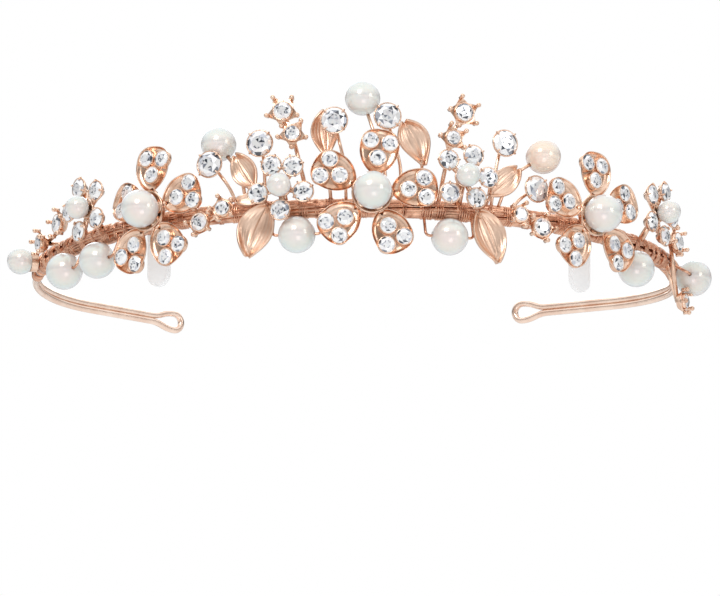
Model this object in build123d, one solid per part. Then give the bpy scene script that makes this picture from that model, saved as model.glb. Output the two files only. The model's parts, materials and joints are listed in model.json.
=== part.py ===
from build123d import *
import math
import os

# Bridal tiara: a doubled wire band bound with fine wire, carrying cast flowers,
# clusters, leaves, sprigs and wired pearls.
# Frame: origin at the centre of the head ring, +Z up, front of the head toward -Y.
# Ornaments are placed by bearing (degrees round the head from the front, positive to
# the viewer's right), height (along +Z) and reach (outward from the band's centre line).

# --- Band and its binding ---------------------------------------------------------
band_radius = 68.5
strand_diameter = 1.3
strand_gap = 0.02
hinge_gap = 0.5
arm_bend_radius = 25.0
arm_bend_turn = 59.0
arm_straight = 15.5
left_arm_droop = 3.0
right_arm_droop = -2.4
eye_radius = 1.85
eye_flare_radius = 8.0
binding_height = 4.2
binding_depth = 3.0
binding_clearance = 0.02
binding_end_bearing = 81.0
channel_overrun = 1.0
solder_gap = 0.01
wrap_wire = 0.6
wrap_turns = 5
wrap_bearing = 84.2

# --- Crystals ---------------------------------------------------------------------
crystal_sides = 8
table_share = 0.55
crown_share = 0.16
girdle_share = 0.05
pavilion_share = 0.40
culet_share = 0.10
seat_clearance = 0.02
collar_wall = 0.3
petal_crystal = 3.0
cluster_crystal = 3.7
stem_crystal = 5.0
upper_sprig_crystal = 3.4
lower_sprig_crystal = 2.8

# --- Pearls -----------------------------------------------------------------------
flower_pearl = 8.0
threaded_pearl = 7.8
stem_pearl = 7.4
end_pearl = 5.8
cluster_pearl = 5.0
peg_diameter = 1.0
peg_length = 2.6
peg_clearance = 0.02
peg_root = 0.4
pearl_wire = 0.6
pearl_running_clearance = 0.05
pearl_wire_margin = 1.3
pearl_wire_bend = 0.9

# --- Flowers ----------------------------------------------------------------------
flower_reach = 5.0
flower_pearl_rise = 2.9
petal_reach = 10.0
petal_back = -0.7
petal_crystal_pitch = 4.1
petal_lobe_radius = 2.3
petal_rim = 0.45
petal_floor = 0.7
petal_depth = 1.9
petal_girdle = 1.5
petal_neck_width = 2.6
petal_neck_thickness = 1.2
hub_radius = 3.6
hub_top = 0.4
hub_floor = 0.6
post_radius = 1.2

# --- Pearl clusters ---------------------------------------------------------------
cluster_reach = 5.0
cluster_pearl_rise = 2.7
cluster_ring_radius = 5.0
cluster_cup_height = 1.7
cluster_girdle = 0.9
cluster_hub_radius = 1.9
cluster_hub_thickness = 1.0
cluster_arm_width = 1.3
cluster_post_radius = 0.7

# --- Leaves, stems and sprigs -----------------------------------------------------
leaf_thickness = 0.8
leaf_rib = 0.8
leaf_rib_rise = 0.25
leaf_rib_share = 0.86
leaf_belly = 0.45
stem_wire = 0.9
stem_bend = 1.2
cup_floor = 0.9
cup_foot_radius = 1.0
cup_claws = 4
claw_radius = 0.45
star_points = 5
star_thickness = 0.7
star_girdle = 1.9
prong_radius = 0.33
prong_ball_radius = 0.42
prong_ball_height = 2.1

# --- Cup of the pearl at the left end ---------------------------------------------
end_cup_radius = 2.2
end_cup_rise = 0.8

# --- Grip tabs --------------------------------------------------------------------
tab_width = 5.4
tab_thickness = 1.2
tab_top = 2.4
tab_drop = 13.0
tab_gap = 0.02

# Feet of every stem and post stand this far inside the binding before it trims them.
foot_height = 0.9
foot_reach = 0.4

# --- Layout: name, bearing, height, then what each kind needs ---------------------
# Each petal is its angle clockwise from the top, and how far it is bent back.
flowers = [
    ("centre_flower", -0.1, 2.0, ((9, 4), (83, 4), (154, 4), (227, 4), (299, 4))),
    ("left_flower", -39.0, 1.5, ((8, 4), (75, 6), (146, 4), (209, 6), (294, 26))),
    ("right_flower", 40.1, 1.8, ((2, 4), (66, 6), (132, 4), (218, 4), (284, 4))),
]

# Each cup is its angle clockwise from the top.
clusters = [
    ("left_front_cluster", -14.9, 3.6, (31, 105, 181, 256, 337)),
    ("right_front_cluster", 15.2, 6.2, (20, 88, 152, 222, 312)),
    ("left_side_cluster", -53.0, 4.9, (52, 124, 200, 272, 340)),
    ("right_side_cluster", 57.6, 6.6, (20, 92, 164, 236, 308)),
]

# Leaves: base and tip as (bearing, height, reach), blade width, bearing of the foot.
leaves = [
    ("upper_left_leaf", (-7.8, 11.4, 0.2), (-8.4, 21.0, 0.2), 5.0, -7.0),
    ("upper_right_leaf", (9.0, 9.2, 1.0), (6.1, 18.6, 1.8), 5.6, 9.0),
    ("small_left_leaf", (-20.6, 5.4, 2.4), (-23.5, 11.2, 3.0), 4.0, -20.2),
    ("small_right_leaf", (20.6, 4.0, 2.4), (25.6, 9.4, 3.0), 3.6, 20.0),
    ("lower_left_leaf", (-17.6, 0.2, 3.0), (-21.6, -9.8, 4.0), 7.2, -17.4),
    ("lower_right_leaf", (18.2, -0.4, 3.0), (22.3, -10.4, 4.0), 6.6, 18.0),
    ("slim_leaf", (-18.0, 2.6, 2.6), (-23.2, 1.8, 3.0), 1.7, -18.2),
]

# Stemmed pearls: pearl place, knee of the stem, bearing of the foot.
stemmed_pearls = [
    ("top_pearl", (-1.6, 23.0, 2.6), (2.2, 9.0, 1.2), 2.6),
    ("left_stem_pearl", (-27.2, 15.0, 0.8), (-22.8, 7.8, 1.2), -22.0),
    ("right_stem_pearl", (30.6, 13.2, 3.0), (24.6, 8.2, 1.4), 22.6),
]

# Stemmed crystals: crystal place, knee of the stem, bearing of the foot.
stemmed_crystals = [
    ((-6.3, 17.8, 4.4), (-4.6, 9.0, 1.2), -4.4),
    ((2.5, 18.8, 4.2), (5.0, 9.0, 1.2), 5.0),
    ((-27.5, 9.9, 4.5), (-24.6, 5.0, 1.8), -23.6),
    ((-19.0, 13.8, 3.2), (-18.6, 8.0, 1.2), -18.6),
    ((23.1, 14.9, 3.2), (22.0, 9.0, 1.2), 21.4),
    ((29.3, 6.0, 2.9), (26.0, 3.2, 1.6), 25.2),
]

# Sprigs: upper star place, lower star place, bearing of the foot, star turn, and
# how far the points stand out past the collar.
sprigs = [
    ("top_left_sprig", (-14.9, 20.2, 2.4), (-13.2, 15.2, 3.0), -10.8, 36, 1.4),
    ("top_right_sprig", (15.4, 20.4, 2.4), (13.4, 14.6, 3.0), 11.6, 10, 1.2),
    ("mid_left_sprig", (-29.6, -2.1, 2.1), (-24.9, 0.0, 3.6), -26.6, 20, 0.25),
    ("mid_right_sprig", (29.9, -2.4, 2.1), (25.1, -0.6, 3.6), 26.8, 50, 0.25),
    ("left_side_sprig", (-62.6, 4.2, 2.6), (-69.4, 1.8, 2.8), -66.0, 0, 0.6),
    ("right_side_sprig", (66.6, 2.8, 2.8), (72.6, -8.4, 2.2), 69.4, 30, 0.4),
]

# Pearls that turn on a wire: pearl place.
threaded_pearls = {
    "front": [
        ("lower_left_pearl", (-12.8, -5.9, 1.9)),
        ("lower_right_pearl", (13.4, -6.0, 2.0)),
    ],
    "left": [
        ("left_side_inner_pearl", (-52.6, -5.9, 2.6)),
        ("left_side_outer_pearl", (-62.7, -5.9, 2.6)),
    ],
    "right": [
        ("right_side_inner_pearl", (53.6, -6.2, 2.6)),
        ("right_side_outer_pearl", (74.6, -2.8, 5.2)),
    ],
}

left_end_pearl_place = (-78.0, 0.3, 5.2)
tab_bearings = (-41.2, 42.4)

# --- Sizes that follow from the ones above ----------------------------------------
strand_radius = strand_diameter / 2
strand_offset = strand_radius + strand_gap / 2
channel_height = 2 * (strand_offset + strand_radius + binding_clearance)
channel_depth = strand_diameter + 2 * binding_clearance


def outward(bearing):
    """Unit vector away from the head at a bearing."""
    angle = math.radians(bearing)
    return Vector(math.sin(angle), -math.cos(angle), 0)


def across(bearing):
    """Unit vector along the band at a bearing, to the viewer's right."""
    angle = math.radians(bearing)
    return Vector(math.cos(angle), math.sin(angle), 0)


def place(bearing, height, reach):
    """Point given by bearing, height and reach."""
    return outward(bearing) * (band_radius + reach) + Vector(0, 0, height)


def station(bearing, height, reach):
    """Seat of an ornament: x along the band, y up, z away from the head."""
    seat = Plane(
        origin=place(bearing, height, reach),
        x_dir=across(bearing),
        z_dir=outward(bearing),
    )
    return seat.location


def ring_section(height, depth):
    """Upright rounded section of something that follows the front of the band."""
    middle = Pos(band_radius, 0, 0) * Rot(90, 0, 0)
    return middle * Rot(0, 0, 90) * SlotOverall(height, depth)


def sweep_front(section, half_angle):
    """Turn a section about the head axis, half_angle to each side of the front."""
    full = revolve(section, Axis.Z, revolution_arc=2 * half_angle)
    return Rot(0, 0, -90 - half_angle) * full


def rod(start, end, radius):
    """Straight round rod between two points."""
    length = (end - start).length
    seat = Plane(origin=start, z_dir=end - start)
    shaft = Cylinder(radius, length, align=(Align.CENTER, Align.CENTER, Align.MIN))
    return seat.location * shaft


def bent_wire(points, diameter, bend):
    """Round wire along straight runs joined by bends."""
    if len(points) == 2:
        return rod(points[0], points[1], diameter / 2)
    path = FilletPolyline(*points, radius=bend)
    section = Plane(origin=path @ 0, z_dir=path % 0) * Circle(diameter / 2)
    return sweep(section, path=path)


def binding_envelope(growth):
    """Outer form of the binding, filled, and larger all round by growth."""
    section = ring_section(binding_height + 2 * growth, binding_depth + 2 * growth)
    return sweep_front(section, binding_end_bearing)


def foot(bearing):
    """Point inside the binding where a stem or post starts."""
    return place(bearing, foot_height, foot_reach)


# --- Crystals ---------------------------------------------------------------------
def crystal(diameter):
    """Faceted round crystal with its girdle at z = 0 and its table up."""
    radius = diameter / 2
    levels = [
        (-pavilion_share * diameter, culet_share * radius),
        (0, radius),
        (girdle_share * diameter, radius),
        ((girdle_share + crown_share) * diameter, table_share * radius),
    ]
    outlines = [Pos(0, 0, z) * RegularPolygon(size, crystal_sides) for z, size in levels]
    return loft(outlines, ruled=True)


def crystal_seat(diameter):
    """Room that a crystal of this diameter needs in its casting."""
    radius = diameter / 2 + seat_clearance
    depth = pavilion_share * diameter + seat_clearance
    rise = (girdle_share + crown_share) * diameter + collar_wall
    up = (Align.CENTER, Align.CENTER, Align.MIN)
    down = (Align.CENTER, Align.CENTER, Align.MAX)
    bottom = culet_share * diameter / 2 + seat_clearance
    return Cylinder(radius, rise, align=up) + Cone(bottom, radius, depth, align=down)


# --- Pearls -----------------------------------------------------------------------
def pegged_pearl(diameter, rise):
    """Half-drilled pearl with its centre at z = rise, its drilling facing the seat."""
    up = (Align.CENTER, Align.CENTER, Align.MIN)
    drill = Cylinder(peg_diameter / 2 + peg_clearance, peg_length + peg_clearance, align=up)
    return Pos(0, 0, rise) * Sphere(diameter / 2) - Pos(0, 0, rise - diameter / 2) * drill


def pearl_seat(diameter, rise):
    """Room for the pearl in the casting below it."""
    return Pos(0, 0, rise) * Sphere(diameter / 2 + seat_clearance)


def pearl_peg(diameter, rise):
    """Peg that the pearl is cemented on, rooted in the casting."""
    up = (Align.CENTER, Align.CENTER, Align.MIN)
    bottom = rise - diameter / 2
    return Pos(0, 0, bottom - peg_root) * Cylinder(peg_diameter / 2, peg_length + peg_root, align=up)


# --- Flowers ----------------------------------------------------------------------
def petal_crystal_places():
    """Centres of the three crystals of a petal: two outer ones and one inner one."""
    half = petal_crystal_pitch / 2
    rise = petal_crystal_pitch * math.sqrt(3) / 2
    outer = petal_reach + rise / 3
    inner = petal_reach - 2 * rise / 3
    return [(-half, outer), (half, outer), (0, inner)]


def petal_outline(margin):
    """Rounded triangle around the three crystals."""
    rims = [Pos(x, y) * Circle(petal_lobe_radius + margin) for x, y in petal_crystal_places()]
    return make_hull([edge for rim in rims for edge in rim.edges()])


def petal_at(angle, bent_back):
    """Location of a petal's back plane on its flower."""
    return Rot(0, 0, -angle) * Rot(-bent_back, 0, 0) * Pos(0, 0, petal_back)


def petal():
    """Dished petal pointing along +Y with a rim, three collars and a neck."""
    up = (Align.CENTER, Align.CENTER, Align.MIN)
    tray = extrude(petal_outline(0), petal_depth)
    tray -= Pos(0, 0, petal_floor) * extrude(petal_outline(-petal_rim), petal_depth)
    for x, y in petal_crystal_places():
        tray += Pos(x, y, 0) * Cylinder(petal_crystal / 2 + collar_wall, petal_girdle, align=up)
    neck = Box(
        petal_neck_width,
        petal_reach - petal_crystal_pitch,
        petal_neck_thickness,
        align=(Align.CENTER, Align.MIN, Align.MIN),
    )
    tray += neck
    for x, y in petal_crystal_places():
        tray -= Pos(x, y, petal_girdle) * crystal_seat(petal_crystal)
    return tray


def flower_casting(petals):
    """Hub cup, peg and five petals as one casting, its post left long."""
    up = (Align.CENTER, Align.CENTER, Align.MIN)
    hub_bottom = flower_pearl_rise - flower_pearl / 2 - hub_floor
    casting = Pos(0, 0, hub_bottom) * Cylinder(hub_radius, hub_top - hub_bottom, align=up)
    post_length = flower_reach - foot_reach
    casting += Pos(0, 0, -post_length) * Cylinder(post_radius, post_length + petal_back, align=up)
    one_petal = petal()
    for angle, bent_back in petals:
        casting += petal_at(angle, bent_back) * one_petal
    casting -= pearl_seat(flower_pearl, flower_pearl_rise)
    return casting + pearl_peg(flower_pearl, flower_pearl_rise)


def flower_crystals(petals):
    """The crystals of all petals."""
    gem = crystal(petal_crystal)
    seats = [
        petal_at(angle, bent_back) * Pos(x, y, petal_girdle)
        for angle, bent_back in petals
        for x, y in petal_crystal_places()
    ]
    return [seat * gem for seat in seats]


# --- Pearl clusters ---------------------------------------------------------------
def cluster_seats(angles):
    """Locations of the cups round a cluster."""
    return [Rot(0, 0, -angle) * Pos(0, cluster_ring_radius, 0) for angle in angles]


def cluster_casting(angles):
    """Hub, arms, cups and peg as one casting."""
    floor = -cluster_hub_thickness / 2
    up = (Align.CENTER, Align.CENTER, Align.MIN)
    casting = Cylinder(cluster_hub_radius, cluster_hub_thickness)
    arm = Box(
        cluster_arm_width,
        cluster_ring_radius,
        cluster_hub_thickness,
        align=(Align.CENTER, Align.MIN, Align.CENTER),
    )
    cup = Pos(0, 0, floor) * Cylinder(cluster_crystal / 2 + collar_wall, cluster_cup_height, align=up)
    for angle in angles:
        casting += Rot(0, 0, -angle) * arm
    for seat in cluster_seats(angles):
        casting += seat * cup
    for seat in cluster_seats(angles):
        casting -= seat * Pos(0, 0, cluster_girdle) * crystal_seat(cluster_crystal)
    casting -= pearl_seat(cluster_pearl, cluster_pearl_rise)
    return casting + pearl_peg(cluster_pearl, cluster_pearl_rise)


def cluster_crystals(angles):
    """The crystals round a cluster."""
    gem = crystal(cluster_crystal)
    return [seat * Pos(0, 0, cluster_girdle) * gem for seat in cluster_seats(angles)]


# --- Leaves -----------------------------------------------------------------------
def leaf(base, tip, width, foot_bearing):
    """Pointed blade with a raised midrib, and the wire that holds it."""
    start = place(*base)
    run = place(*tip) - start
    facing = outward(base[0])
    facing -= run.normalized() * facing.dot(run.normalized())
    seat = Plane(origin=start, x_dir=run.cross(facing), z_dir=facing)
    length = run.length
    right_edge = ThreePointArc((0, 0), (width / 2, leaf_belly * length), (0, length))
    left_edge = ThreePointArc((0, length), (-width / 2, leaf_belly * length), (0, 0))
    blade = extrude(make_face([right_edge, left_edge]), leaf_thickness / 2, both=True)
    rib_end = Vector(0, leaf_rib_share * length, leaf_rib_rise)
    rib = rod(Vector(0, stem_wire, leaf_rib_rise), rib_end, leaf_rib / 2)
    stalk_root = start + run.normalized() * stem_wire
    stalk = rod(foot(foot_bearing), stalk_root, stem_wire / 2)
    return seat.location * (blade + rib) + stalk


# --- Stems, cups and sprigs -------------------------------------------------------
def crystal_cup(diameter):
    """Conical cup with four claws, girdle of its crystal at z = 0."""
    outer = diameter / 2 + collar_wall
    rim = girdle_share * diameter
    height = pavilion_share * diameter + cup_floor + rim
    down = (Align.CENTER, Align.CENTER, Align.MAX)
    cup = Pos(0, 0, rim) * Cone(cup_foot_radius, outer, height, align=down)
    for index in range(cup_claws):
        cup += Rot(0, 0, 360 * (index + 0.5) / cup_claws) * Pos(outer, 0, rim) * Sphere(claw_radius)
    return cup


def stem_to(head, knee, foot_bearing):
    """Stem wire from the binding over a knee to a head point."""
    return bent_wire([foot(foot_bearing), place(*knee), head], stem_wire, stem_bend)


def stemmed_crystal(seat_place, knee, foot_bearing):
    """Cup and stem of one stemmed crystal."""
    bearing, height, reach = seat_place
    head = place(bearing, height, reach - pavilion_share * stem_crystal - cup_floor / 2)
    cup = station(*seat_place) * crystal_cup(stem_crystal)
    seat = station(*seat_place) * crystal_seat(stem_crystal)
    return cup + stem_to(head, knee, foot_bearing) - seat


def pearl_stem(pearl_place, knee, foot_bearing):
    """Stem wire that ends inside a half-drilled pearl."""
    return stem_to(place(*pearl_place), knee, foot_bearing)


def pearl_on_stem(pearl_place, knee):
    """Pearl drilled to its centre along its stem."""
    centre = place(*pearl_place)
    seat = Plane(origin=centre, z_dir=place(*knee) - centre)
    up = (Align.CENTER, Align.CENTER, Align.MIN)
    drill = Cylinder(stem_wire / 2 + peg_clearance, stem_pearl, align=up)
    return seat.location * (Sphere(stem_pearl / 2) - Pos(0, 0, -peg_clearance) * drill)


def star(diameter, turn, stand_out):
    """Pointed star setting with balled prongs, its back at z = 0."""
    up = (Align.CENTER, Align.CENTER, Align.MIN)
    waist = diameter / 2 + collar_wall
    corners = []
    for index in range(2 * star_points):
        angle = math.radians(turn + 180 * index / star_points)
        size = waist + stand_out * (1 - index % 2)
        corners.append((size * math.sin(angle), size * math.cos(angle)))
    setting = extrude(Polygon(*corners, align=None), star_thickness)
    setting += Cylinder(waist, star_girdle, align=up)
    for index in range(star_points):
        tip = Rot(0, 0, -turn - 360 * index / star_points)
        tip *= Pos(0, waist + stand_out - prong_ball_radius, 0)
        setting += tip * Cylinder(prong_radius, prong_ball_height, align=up)
        setting += tip * Pos(0, 0, prong_ball_height) * Sphere(prong_ball_radius)
    return setting - Pos(0, 0, star_girdle) * crystal_seat(diameter)


def sprig_casting(upper, lower, foot_bearing, turn, stand_out):
    """Two star settings with one wire along their backs."""
    casting = station(*upper) * star(upper_sprig_crystal, turn, stand_out)
    casting += station(*lower) * star(lower_sprig_crystal, turn, stand_out)
    casting += rod(place(*lower), place(*upper), stem_wire / 2)
    return casting + rod(foot(foot_bearing), place(*lower), stem_wire / 2)


def sprig_crystals(upper, lower):
    """The two crystals of a sprig."""
    first = station(*upper) * Pos(0, 0, star_girdle) * crystal(upper_sprig_crystal)
    second = station(*lower) * Pos(0, 0, star_girdle) * crystal(lower_sprig_crystal)
    return [first, second]


def end_cup(pearl_place):
    """Small dished cup, peg and post of the pearl at the left end."""
    bearing, height, reach = pearl_place
    down = (Align.CENTER, Align.CENTER, Align.MAX)
    rim = end_cup_rise - end_pearl / 2
    seat = station(*pearl_place)
    cup = seat * Pos(0, 0, rim) * Cylinder(end_cup_radius, end_cup_rise + hub_floor, align=down)
    cup += rod(foot(bearing), place(bearing, height, reach + rim - hub_floor), cluster_post_radius)
    cup -= seat * pearl_seat(end_pearl, 0)
    return cup + seat * pearl_peg(end_pearl, 0)


# --- Pearls that turn on their wires ----------------------------------------------
def turning_pearl(pearl_place):
    """Pearl drilled right through along the band."""
    hole = Cylinder(pearl_wire / 2 + pearl_running_clearance, 2 * threaded_pearl)
    drilled = Sphere(threaded_pearl / 2) - Rot(0, 90, 0) * hole
    return station(*pearl_place) * drilled


def turning_wire(pearl_place):
    """Wire through the pearl with both legs going back into the binding."""
    bearing, height, reach = pearl_place
    centre = place(*pearl_place)
    home = place(bearing, 0, 0) - centre
    side = across(bearing) * (threaded_pearl / 2 + pearl_wire_margin)
    points = [centre - side + home, centre - side, centre + side, centre + side + home]
    return bent_wire(points, pearl_wire, pearl_wire_bend)


# --- Band -------------------------------------------------------------------------
def band_front():
    """The two strands round the front of the head, between the two arms."""
    half_angle = 90 - math.degrees(hinge_gap / 2 / band_radius)
    strands = []
    for level in (strand_offset, -strand_offset):
        section = Pos(band_radius, 0, level) * Rot(90, 0, 0) * Circle(strand_radius)
        strands.append(sweep_front(section, half_angle))
    return strands


def arm_path():
    """Centre line of the right arm: one strand out, round the eye and back."""
    bend_centre = band_radius - arm_bend_radius
    flat = Plane(origin=(bend_centre, hinge_gap / 2, strand_offset))
    top_bend = flat * CenterArc((0, 0), arm_bend_radius, 0, arm_bend_turn)
    turn = math.radians(arm_bend_turn)
    ahead = Vector(-math.sin(turn), math.cos(turn), 0)
    upright = Plane(
        origin=(top_bend @ 1) - Vector(0, 0, strand_offset),
        x_dir=ahead,
        z_dir=ahead.cross(Vector(0, 0, 1)),
    )
    flare = math.acos(1 - (eye_radius - strand_offset) / (2 * eye_flare_radius))
    step = eye_flare_radius * math.sin(flare)
    degrees = math.degrees(flare)
    eye_start = arm_straight + 2 * step
    top = [
        Line((0, strand_offset), (arm_straight, strand_offset)),
        CenterArc((arm_straight, strand_offset + eye_flare_radius), eye_flare_radius, -90, degrees),
        CenterArc((eye_start, eye_radius - eye_flare_radius), eye_flare_radius, 90 + degrees, -degrees),
        CenterArc((eye_start, 0), eye_radius, 90, -90),
    ]
    raised = [upright * edge for edge in top]
    upper = [top_bend] + raised
    lower = [edge.mirror(Plane.XY) for edge in upper]
    return Wire(upper + lower)


def arm(side, droop):
    """One arm with its eye, drooping a little from the hinge to the eye."""
    path = arm_path()
    start = Vector(band_radius, hinge_gap / 2, strand_offset)
    section = Plane(origin=start, z_dir=(0, 1, 0)) * Circle(strand_radius)
    bar = sweep(section, path=path)
    bar = Pos(0, hinge_gap / 2, 0) * Rot(-droop, 0, 0) * Pos(0, -hinge_gap / 2, 0) * bar
    return bar if side > 0 else mirror(bar, about=Plane.YZ)


def end_wrap(side):
    """Turns of fine wire tight round the strands beside the binding."""
    reach_across = channel_depth + wrap_wire
    reach_up = channel_height + wrap_wire
    pitch = math.degrees((wrap_wire + strand_gap) / band_radius)
    turns = []
    for index in range(wrap_turns):
        bearing = side * (wrap_bearing + pitch * (index - (wrap_turns - 1) / 2))
        loop = Rot(0, 0, 90) * SlotOverall(reach_up, reach_across)
        loop_wire = loop.face().outer_wire()
        start = loop_wire @ 0
        section = Plane(origin=start, z_dir=loop_wire % 0) * Circle(wrap_wire / 2)
        turn = sweep(section, path=loop_wire)
        lay = Plane(origin=place(bearing, 0, 0), x_dir=outward(bearing), z_dir=across(bearing))
        turns.append(lay.location * turn)
    return turns


def grip_tab(bearing):
    """Clear tab lying against the inside of the binding and hanging below it."""
    height = tab_top + tab_drop
    middle = (tab_top - tab_drop) / 2
    outline = SlotOverall(height, tab_width)
    reach = -binding_depth / 2 - tab_gap - tab_thickness / 2
    sag = band_radius - math.sqrt(band_radius**2 - (tab_width / 2) ** 2)
    seat = station(bearing, middle, reach - sag)
    return seat * Rot(0, 0, 90) * extrude(outline, tab_thickness / 2, both=True)


# --- Assembly ---------------------------------------------------------------------
envelope = binding_envelope(solder_gap)
nodes = {}

nodes["band_front"] = band_front()
nodes["left_arm_wire"] = arm(-1, left_arm_droop)
nodes["right_arm_wire"] = arm(1, right_arm_droop)
nodes["end_wraps"] = end_wrap(-1) + end_wrap(1)
channel_section = ring_section(channel_height, channel_depth)
channel = sweep_front(channel_section, binding_end_bearing + channel_overrun)
nodes["binding_wire"] = binding_envelope(0) - channel

for name, bearing, height, petals in flowers:
    seat = station(bearing, height, flower_reach)
    nodes[name + "_casting"] = seat * flower_casting(petals) - envelope
    nodes[name + "_pearl"] = seat * pegged_pearl(flower_pearl, flower_pearl_rise)
    nodes[name + "_crystals"] = [seat * gem for gem in flower_crystals(petals)]

for name, bearing, height, angles in clusters:
    seat = station(bearing, height, cluster_reach)
    back = place(bearing, height, cluster_reach)
    post = rod(foot(bearing), back, cluster_post_radius)
    post -= seat * pearl_seat(cluster_pearl, cluster_pearl_rise)
    nodes[name + "_casting"] = seat * cluster_casting(angles) + post - envelope
    nodes[name + "_pearl"] = seat * pegged_pearl(cluster_pearl, cluster_pearl_rise)
    nodes[name + "_crystals"] = [seat * gem for gem in cluster_crystals(angles)]

for name, base, tip, width, foot_bearing in leaves:
    nodes[name] = leaf(base, tip, width, foot_bearing) - envelope

nodes["pearl_stems"] = []
for name, pearl_place, knee, foot_bearing in stemmed_pearls:
    nodes["pearl_stems"].append(pearl_stem(pearl_place, knee, foot_bearing) - envelope)
    nodes[name] = pearl_on_stem(pearl_place, knee)

nodes["crystal_stems"] = []
nodes["stem_crystals"] = []
for seat_place, knee, foot_bearing in stemmed_crystals:
    nodes["crystal_stems"].append(stemmed_crystal(seat_place, knee, foot_bearing) - envelope)
    nodes["stem_crystals"].append(station(*seat_place) * crystal(stem_crystal))

nodes["sprig_crystals"] = []
for name, upper, lower, foot_bearing, turn, stand_out in sprigs:
    nodes[name] = sprig_casting(upper, lower, foot_bearing, turn, stand_out) - envelope
    nodes["sprig_crystals"] += sprig_crystals(upper, lower)

for group, members in threaded_pearls.items():
    nodes[group + "_pearl_wires"] = [turning_wire(spot) - envelope for _, spot in members]
    for name, spot in members:
        nodes[name] = turning_pearl(spot)

nodes["left_end_cup"] = end_cup(left_end_pearl_place) - envelope
nodes["left_end_pearl"] = station(*left_end_pearl_place) * pegged_pearl(end_pearl, 0)

nodes["grip_tabs"] = [grip_tab(bearing) for bearing in tab_bearings]

os.makedirs("parts", exist_ok=True)
for name, shape in nodes.items():
    items = shape if isinstance(shape, list) else [shape]
    solids = [solid for item in items for solid in item.solids()]
    export_step(Compound(children=list(solids)), f"parts/{name}.step")
    print(name, len(solids), round(sum(solid.volume for solid in solids), 2))
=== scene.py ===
# %% [markdown]
# # A bridal tiara, dressed piece by piece
#
# A bridal tiara is wire work. Two strands of wire go round the head, finer wire binds them, and flowers,
# clusters, leaves, stars and pearls are tied on by their stems. The solid model already holds every
# piece in its true place, so this lesson loads it as a frame and dresses each piece in finer shapes.

# %% Load the solid model as the frame
import json
import math
import random

import bmesh
import bpy
from mathutils import Matrix, Vector

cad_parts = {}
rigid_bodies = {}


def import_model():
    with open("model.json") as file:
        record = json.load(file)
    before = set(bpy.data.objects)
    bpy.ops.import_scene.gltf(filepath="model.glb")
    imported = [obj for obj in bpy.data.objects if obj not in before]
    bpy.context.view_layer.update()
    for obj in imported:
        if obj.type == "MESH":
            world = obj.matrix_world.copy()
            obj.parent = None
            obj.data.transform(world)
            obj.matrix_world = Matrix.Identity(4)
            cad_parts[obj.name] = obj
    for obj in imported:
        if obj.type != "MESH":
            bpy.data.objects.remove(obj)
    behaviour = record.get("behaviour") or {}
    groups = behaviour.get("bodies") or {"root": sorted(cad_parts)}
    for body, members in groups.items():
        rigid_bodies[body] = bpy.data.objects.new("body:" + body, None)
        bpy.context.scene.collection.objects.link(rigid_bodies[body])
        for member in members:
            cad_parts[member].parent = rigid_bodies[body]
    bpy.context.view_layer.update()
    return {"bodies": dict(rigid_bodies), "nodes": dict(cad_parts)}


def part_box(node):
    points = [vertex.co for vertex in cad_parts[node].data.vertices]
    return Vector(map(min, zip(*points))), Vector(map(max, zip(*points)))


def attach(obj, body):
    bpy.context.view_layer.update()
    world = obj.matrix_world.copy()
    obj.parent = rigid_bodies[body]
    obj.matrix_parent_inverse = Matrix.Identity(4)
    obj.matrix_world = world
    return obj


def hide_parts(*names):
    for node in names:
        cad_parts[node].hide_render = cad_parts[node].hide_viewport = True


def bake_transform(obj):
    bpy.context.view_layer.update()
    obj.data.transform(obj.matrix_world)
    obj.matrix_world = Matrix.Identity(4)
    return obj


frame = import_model()
mm = 0.001

# %% [markdown]
# Every ornament sits at a bearing round the head, a height, and a reach outwards from the wire. The same
# three numbers are handy here. A place on the head ring becomes a matrix whose x runs along the band,
# y runs up and z points away from the head, so that a flower can be built flat and then carried there.

# %% Places round the head
band_radius = 68.5 * mm


def outward(bearing):
    """Unit vector away from the head."""
    angle = math.radians(bearing)
    return Vector((math.sin(angle), -math.cos(angle), 0))


def place(bearing, height, reach):
    """A point on the head ring, height and reach in millimetres."""
    return outward(bearing) * (band_radius + reach * mm) + Vector((0, 0, height * mm))


def bearing_of(point):
    """Bearing of a point, in degrees from the front."""
    return math.degrees(math.atan2(point.x, -point.y))


def seat(origin, out, up):
    """Matrix with z along out and y as near to up as it can be."""
    z = out.normalized()
    y = (up - z * up.dot(z)).normalized()
    turn = Matrix((y.cross(z), y, z)).transposed()
    return Matrix.Translation(origin) @ turn.to_4x4()


def node_centre(node):
    """Middle of a solid node's box."""
    low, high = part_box(node)
    return (low + high) / 2


UP = Vector((0, 0, 1))
print("front of the band", tuple(round(c, 4) for c in place(0, 0, 0)))

# %% [markdown]
# Shader maths reads best as ordinary sums. One small class wraps a socket, and adding or multiplying
# two of them adds the Math node. Its make method adds any other kind of node, with the settings first
# and the links or values after.

# %% A class for shader signals


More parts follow.
